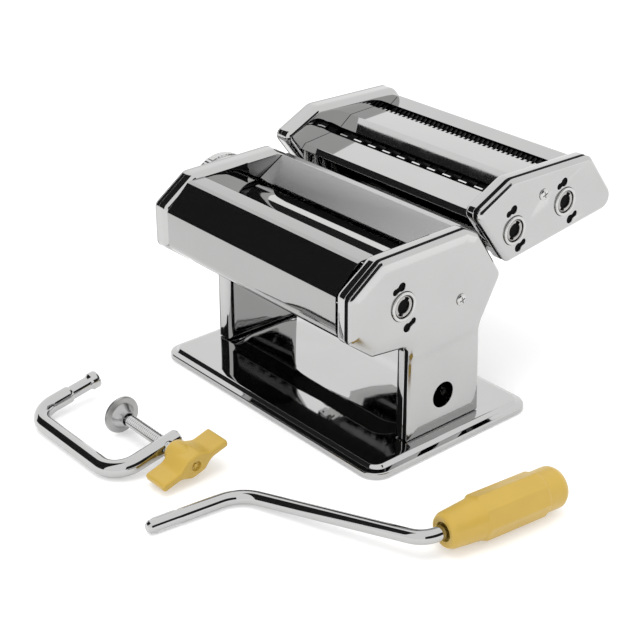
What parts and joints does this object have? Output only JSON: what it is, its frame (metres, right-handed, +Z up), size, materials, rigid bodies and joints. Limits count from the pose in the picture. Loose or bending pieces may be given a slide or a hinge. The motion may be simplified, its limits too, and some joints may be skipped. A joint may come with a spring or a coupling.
{
  "type": "pasta roller machine",
  "caption": "Hand-cranked pasta roller on a base tray, with a lift-off cutter head, a loose crank and a loose table clamp.",
  "frame": {"origin": "on the table, under the middle of the whole set: machine, crank and clamp as they lie", "axes": "+X along the rollers to the crank side, +Y to the back of the machine, +Z up from the table"},
  "size_m": [0.3095, 0.3289, 0.151],
  "materials": {
    "chrome": "polished",
    "steel": "satin",
    "zinc": "matte die casting",
    "gear_steel": "oiled",
    "black_plastic": "moulded",
    "yellow_plastic": "moulded, semi-gloss",
    "rubber": "matte"
  },
  "bodies": {
    "machine": {"base_tray": "chrome", "rubber_foot_1": "rubber", "rubber_foot_2": "rubber", "rubber_foot_3": "rubber", "rubber_foot_4": "rubber", "frame_left": "chrome", "frame_right": "chrome", "cover_left": "chrome", "cover_right": "chrome", "cover_screw_left": "steel", "cover_screw_right": "steel", "socket_ring": "steel", "front_cover": "chrome", "rear_cover": "chrome", "front_scraper": "black_plastic", "tie_rod_front": "steel", "tie_rod_rear": "steel", "mount_rail_left": "steel", "mount_rail_right": "steel"},
    "hopper": {"feed_tray": "chrome"},
    "drive": {"drive_roller": "chrome", "drive_gear": "gear_steel"},
    "adjuster": {"adjuster_shaft": "steel", "knob_spring": "steel"},
    "knob": {"thickness_knob": "steel"},
    "gap_carriage": {"bearing_block_left": "black_plastic", "bearing_block_right": "black_plastic", "rear_scraper": "black_plastic"},
    "rear": {"rear_roller": "chrome", "rear_gear": "gear_steel"},
    "cutter_head": {"cutter_frame_left": "chrome", "cutter_frame_right": "chrome", "cutter_cover_left": "chrome", "cutter_cover_right": "chrome", "cutter_screw_left": "steel", "cutter_screw_right": "steel", "wide_socket_ring": "steel", "fine_socket_ring": "steel", "cutter_front_cover": "chrome", "cutter_middle_cover": "chrome", "cutter_rear_cover": "chrome", "mount_shoe_left": "steel", "mount_shoe_right": "steel", "wide_comb": "black_plastic", "fine_comb": "black_plastic"},
    "wide_front": {"wide_cutter_front": "steel", "wide_gear_front": "gear_steel"},
    "wide_rear": {"wide_cutter_rear": "steel", "wide_gear_rear": "gear_steel"},
    "fine_front": {"fine_cutter_front": "steel", "fine_gear_front": "gear_steel"},
    "fine_rear": {"fine_cutter_rear": "steel", "fine_gear_rear": "gear_steel"},
    "crank": {"crank_rod": "chrome"},
    "grip": {"crank_grip": "yellow_plastic"},
    "clamp": {"clamp_bow": "chrome"},
    "pad": {"pressure_pad": "zinc"},
    "screw": {"clamp_screw": "steel", "wing_knob": "yellow_plastic"}
  },
  "joints": [
    {"name": "hopper_lift", "type": "slide", "parent": "machine", "child": "hopper", "axis": [0, 0, 1], "range_m": [0, 0.04]},
    {"name": "drive_spin", "type": "hinge", "parent": "machine", "child": "drive", "pos_m": [-0.0388, -0.0102, 0.0986], "axis": [1, 0, 0], "continuous": true},
    {"name": "thickness_turn", "type": "hinge", "parent": "machine", "child": "adjuster", "pos_m": [-0.1288, 0.0198, 0.0986], "axis": [1, 0, 0], "range_deg": [0, 180]},
    {"name": "knob_pull", "type": "slide", "parent": "adjuster", "child": "knob", "axis": [-1, 0, 0], "range_m": [0, 0.004], "stiffness_N_per_m": 800, "springref_m": -0.004},
    {"name": "gap_close", "type": "slide", "parent": "machine", "child": "gap_carriage", "axis": [0, -1, 0], "range_m": [0, 0.002]},
    {"name": "rear_spin", "type": "hinge", "parent": "gap_carriage", "child": "rear", "pos_m": [-0.0388, 0.0208, 0.0986], "axis": [1, 0, 0], "continuous": true},
    {"name": "cutter_head_lift", "type": "slide", "parent": "machine", "child": "cutter_head", "axis": [0, 0, 1], "range_m": [0, 0.06]},
    {"name": "wide_front_spin", "type": "hinge", "parent": "cutter_head", "child": "wide_front", "pos_m": [-0.0388, 0.0775, 0.1194], "axis": [1, 0, 0], "continuous": true},
    {"name": "wide_rear_spin", "type": "hinge", "parent": "cutter_head", "child": "wide_rear", "pos_m": [-0.0388, 0.0975, 0.1223], "axis": [1, 0, 0], "continuous": true},
    {"name": "fine_front_spin", "type": "hinge", "parent": "cutter_head", "child": "fine_front", "pos_m": [-0.0388, 0.1209, 0.1258], "axis": [1, 0, 0], "continuous": true},
    {"name": "fine_rear_spin", "type": "hinge", "parent": "cutter_head", "child": "fine_rear", "pos_m": [-0.0388, 0.1409, 0.1287], "axis": [1, 0, 0], "continuous": true},
    {"name": "crank_lift", "type": "slide", "parent": "machine", "child": "crank", "axis": [0, 0, 1], "range_m": [0, 0.18]},
    {"name": "grip_spin", "type": "hinge", "parent": "crank", "child": "grip", "pos_m": [0.13344, -0.05697, 0.01334], "axis": [0.1149, 0.9934, 0], "continuous": true},
    {"name": "clamp_lift", "type": "slide", "parent": "machine", "child": "clamp", "axis": [0, 0, 1], "range_m": [0, 0.12]},
    {"name": "pad_travel", "type": "slide", "parent": "clamp", "child": "pad", "axis": [1, 0, 0], "range_m": [0, 0.016]},
    {"name": "screw_turn", "type": "hinge", "parent": "pad", "child": "screw", "pos_m": [-0.0388, -0.11461, 0.01178], "axis": [1, 0, 0], "range_deg": [0, 2880]}
  ],
  "couplings": [
    {"joint": "thickness_turn", "follows": "gap_close", "rad_per_m": 1570.8},
    {"joint": "rear_spin", "follows": "drive_spin", "ratio": -1},
    {"joint": "wide_rear_spin", "follows": "wide_front_spin", "ratio": -1},
    {"joint": "fine_rear_spin", "follows": "fine_front_spin", "ratio": -1},
    {"joint": "pad_travel", "follows": "screw_turn", "m_per_rad": 0.00031831}
  ]
}
